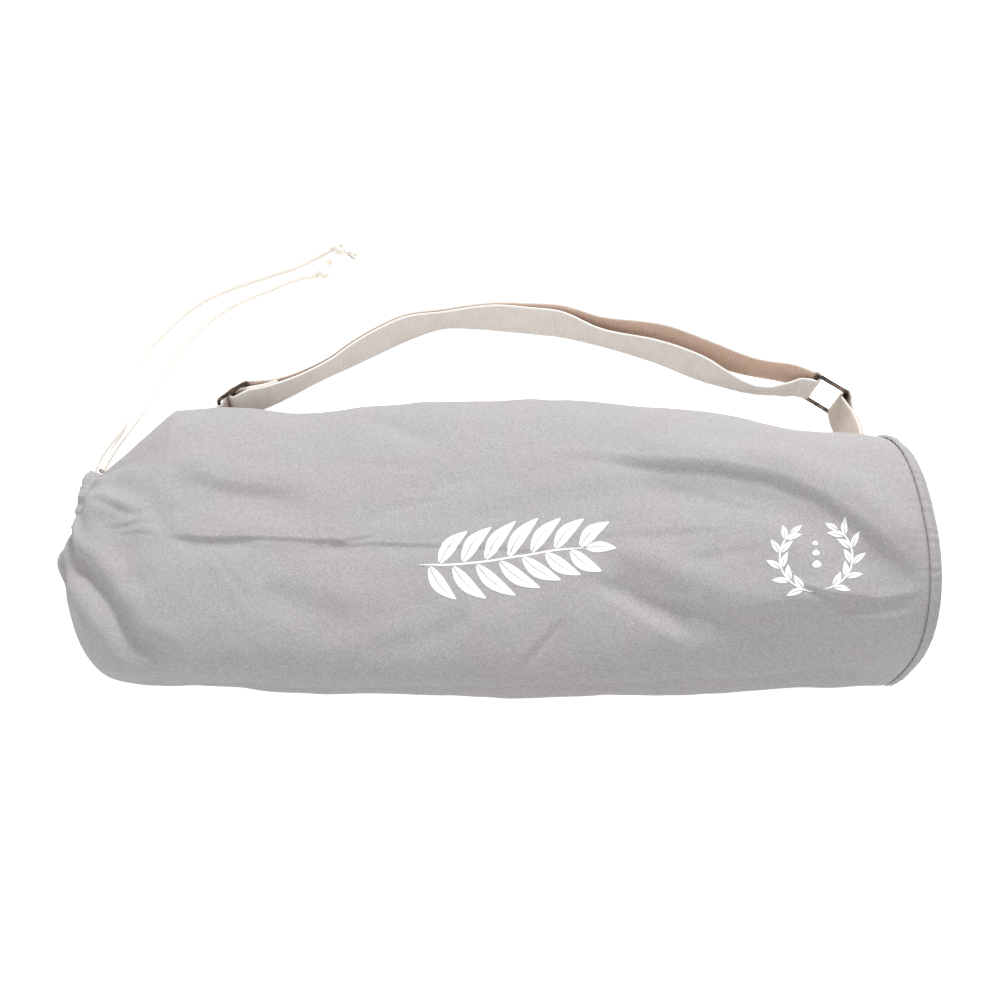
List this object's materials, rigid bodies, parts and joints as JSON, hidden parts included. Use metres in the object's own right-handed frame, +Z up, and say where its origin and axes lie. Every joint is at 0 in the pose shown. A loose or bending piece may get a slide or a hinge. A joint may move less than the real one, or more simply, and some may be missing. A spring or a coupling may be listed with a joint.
{
  "type": "yoga mat bag",
  "caption": "Empty cotton canvas mat bag lying on its side, with a round base, a gathered drawstring mouth and an adjustable webbing shoulder strap.",
  "frame": {"origin": "on the floor under the middle of the bag with its strap, without the free cords", "axes": "+X runs along the bag from the gathered mouth to the round base, +Y to the shoulder strap, +Z up from the floor"},
  "size_m": [0.6728, 0.4471, 0.1528],
  "materials": {
    "canvas": "matt grey cotton canvas",
    "webbing": "natural ribbed cotton webbing",
    "cord_cotton": "off-white braided cotton",
    "gunmetal": "dark antique plating"
  },
  "bodies": {
    "root": {"bag_body": "canvas", "base_panel": "canvas", "drawstring_channel": "canvas", "strap_ring": "gunmetal", "strap_slider": "gunmetal", "shoulder_strap": "webbing", "strap_tab": "webbing", "cord_tail_far": "cord_cotton", "cord_tail_near": "cord_cotton", "cord_knot_far": "cord_cotton", "cord_knot_near": "cord_cotton"}
  },
  "joints": []
}
